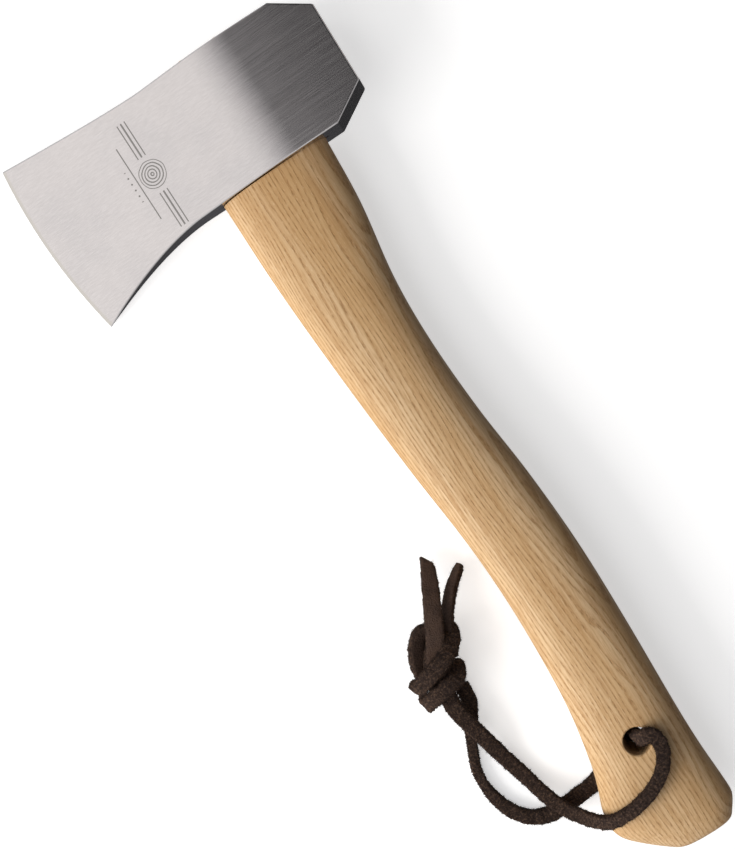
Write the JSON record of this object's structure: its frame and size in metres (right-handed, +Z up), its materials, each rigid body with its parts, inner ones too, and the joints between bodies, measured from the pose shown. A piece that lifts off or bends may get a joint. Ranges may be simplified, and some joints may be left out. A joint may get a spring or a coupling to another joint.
{
  "type": "carving hatchet",
  "caption": "Carving hatchet lying on its side: flared steel head with a flat poll, curved ash handle wedged into the eye, and a knotted leather lanyard through the butt.",
  "frame": {"origin": "on the table, under the middle of the head's and handle's footprint", "axes": "+X towards the poll, +Y along the handle towards the top of the head, +Z up off the table; the hatchet lies tipped on one tapered cheek and on the lace under its butt"},
  "size_m": [0.1308, 0.34, 0.0272],
  "materials": {
    "head_steel": "satin, ground lengthwise",
    "ash": "oiled",
    "wedge_wood": "end grain, oiled",
    "ring_steel": "as turned",
    "lace_leather": "rough cut, matt"
  },
  "bodies": {
    "root": {"axe_head": "head_steel", "handle": "ash", "wooden_wedge": "wedge_wood", "ring_wedge": "ring_steel", "lanyard_leg_front": "lace_leather", "lanyard_leg_back": "lace_leather", "lanyard_knot": "lace_leather", "lanyard_tail_long": "lace_leather", "lanyard_tail_short": "lace_leather"}
  },
  "joints": []
}
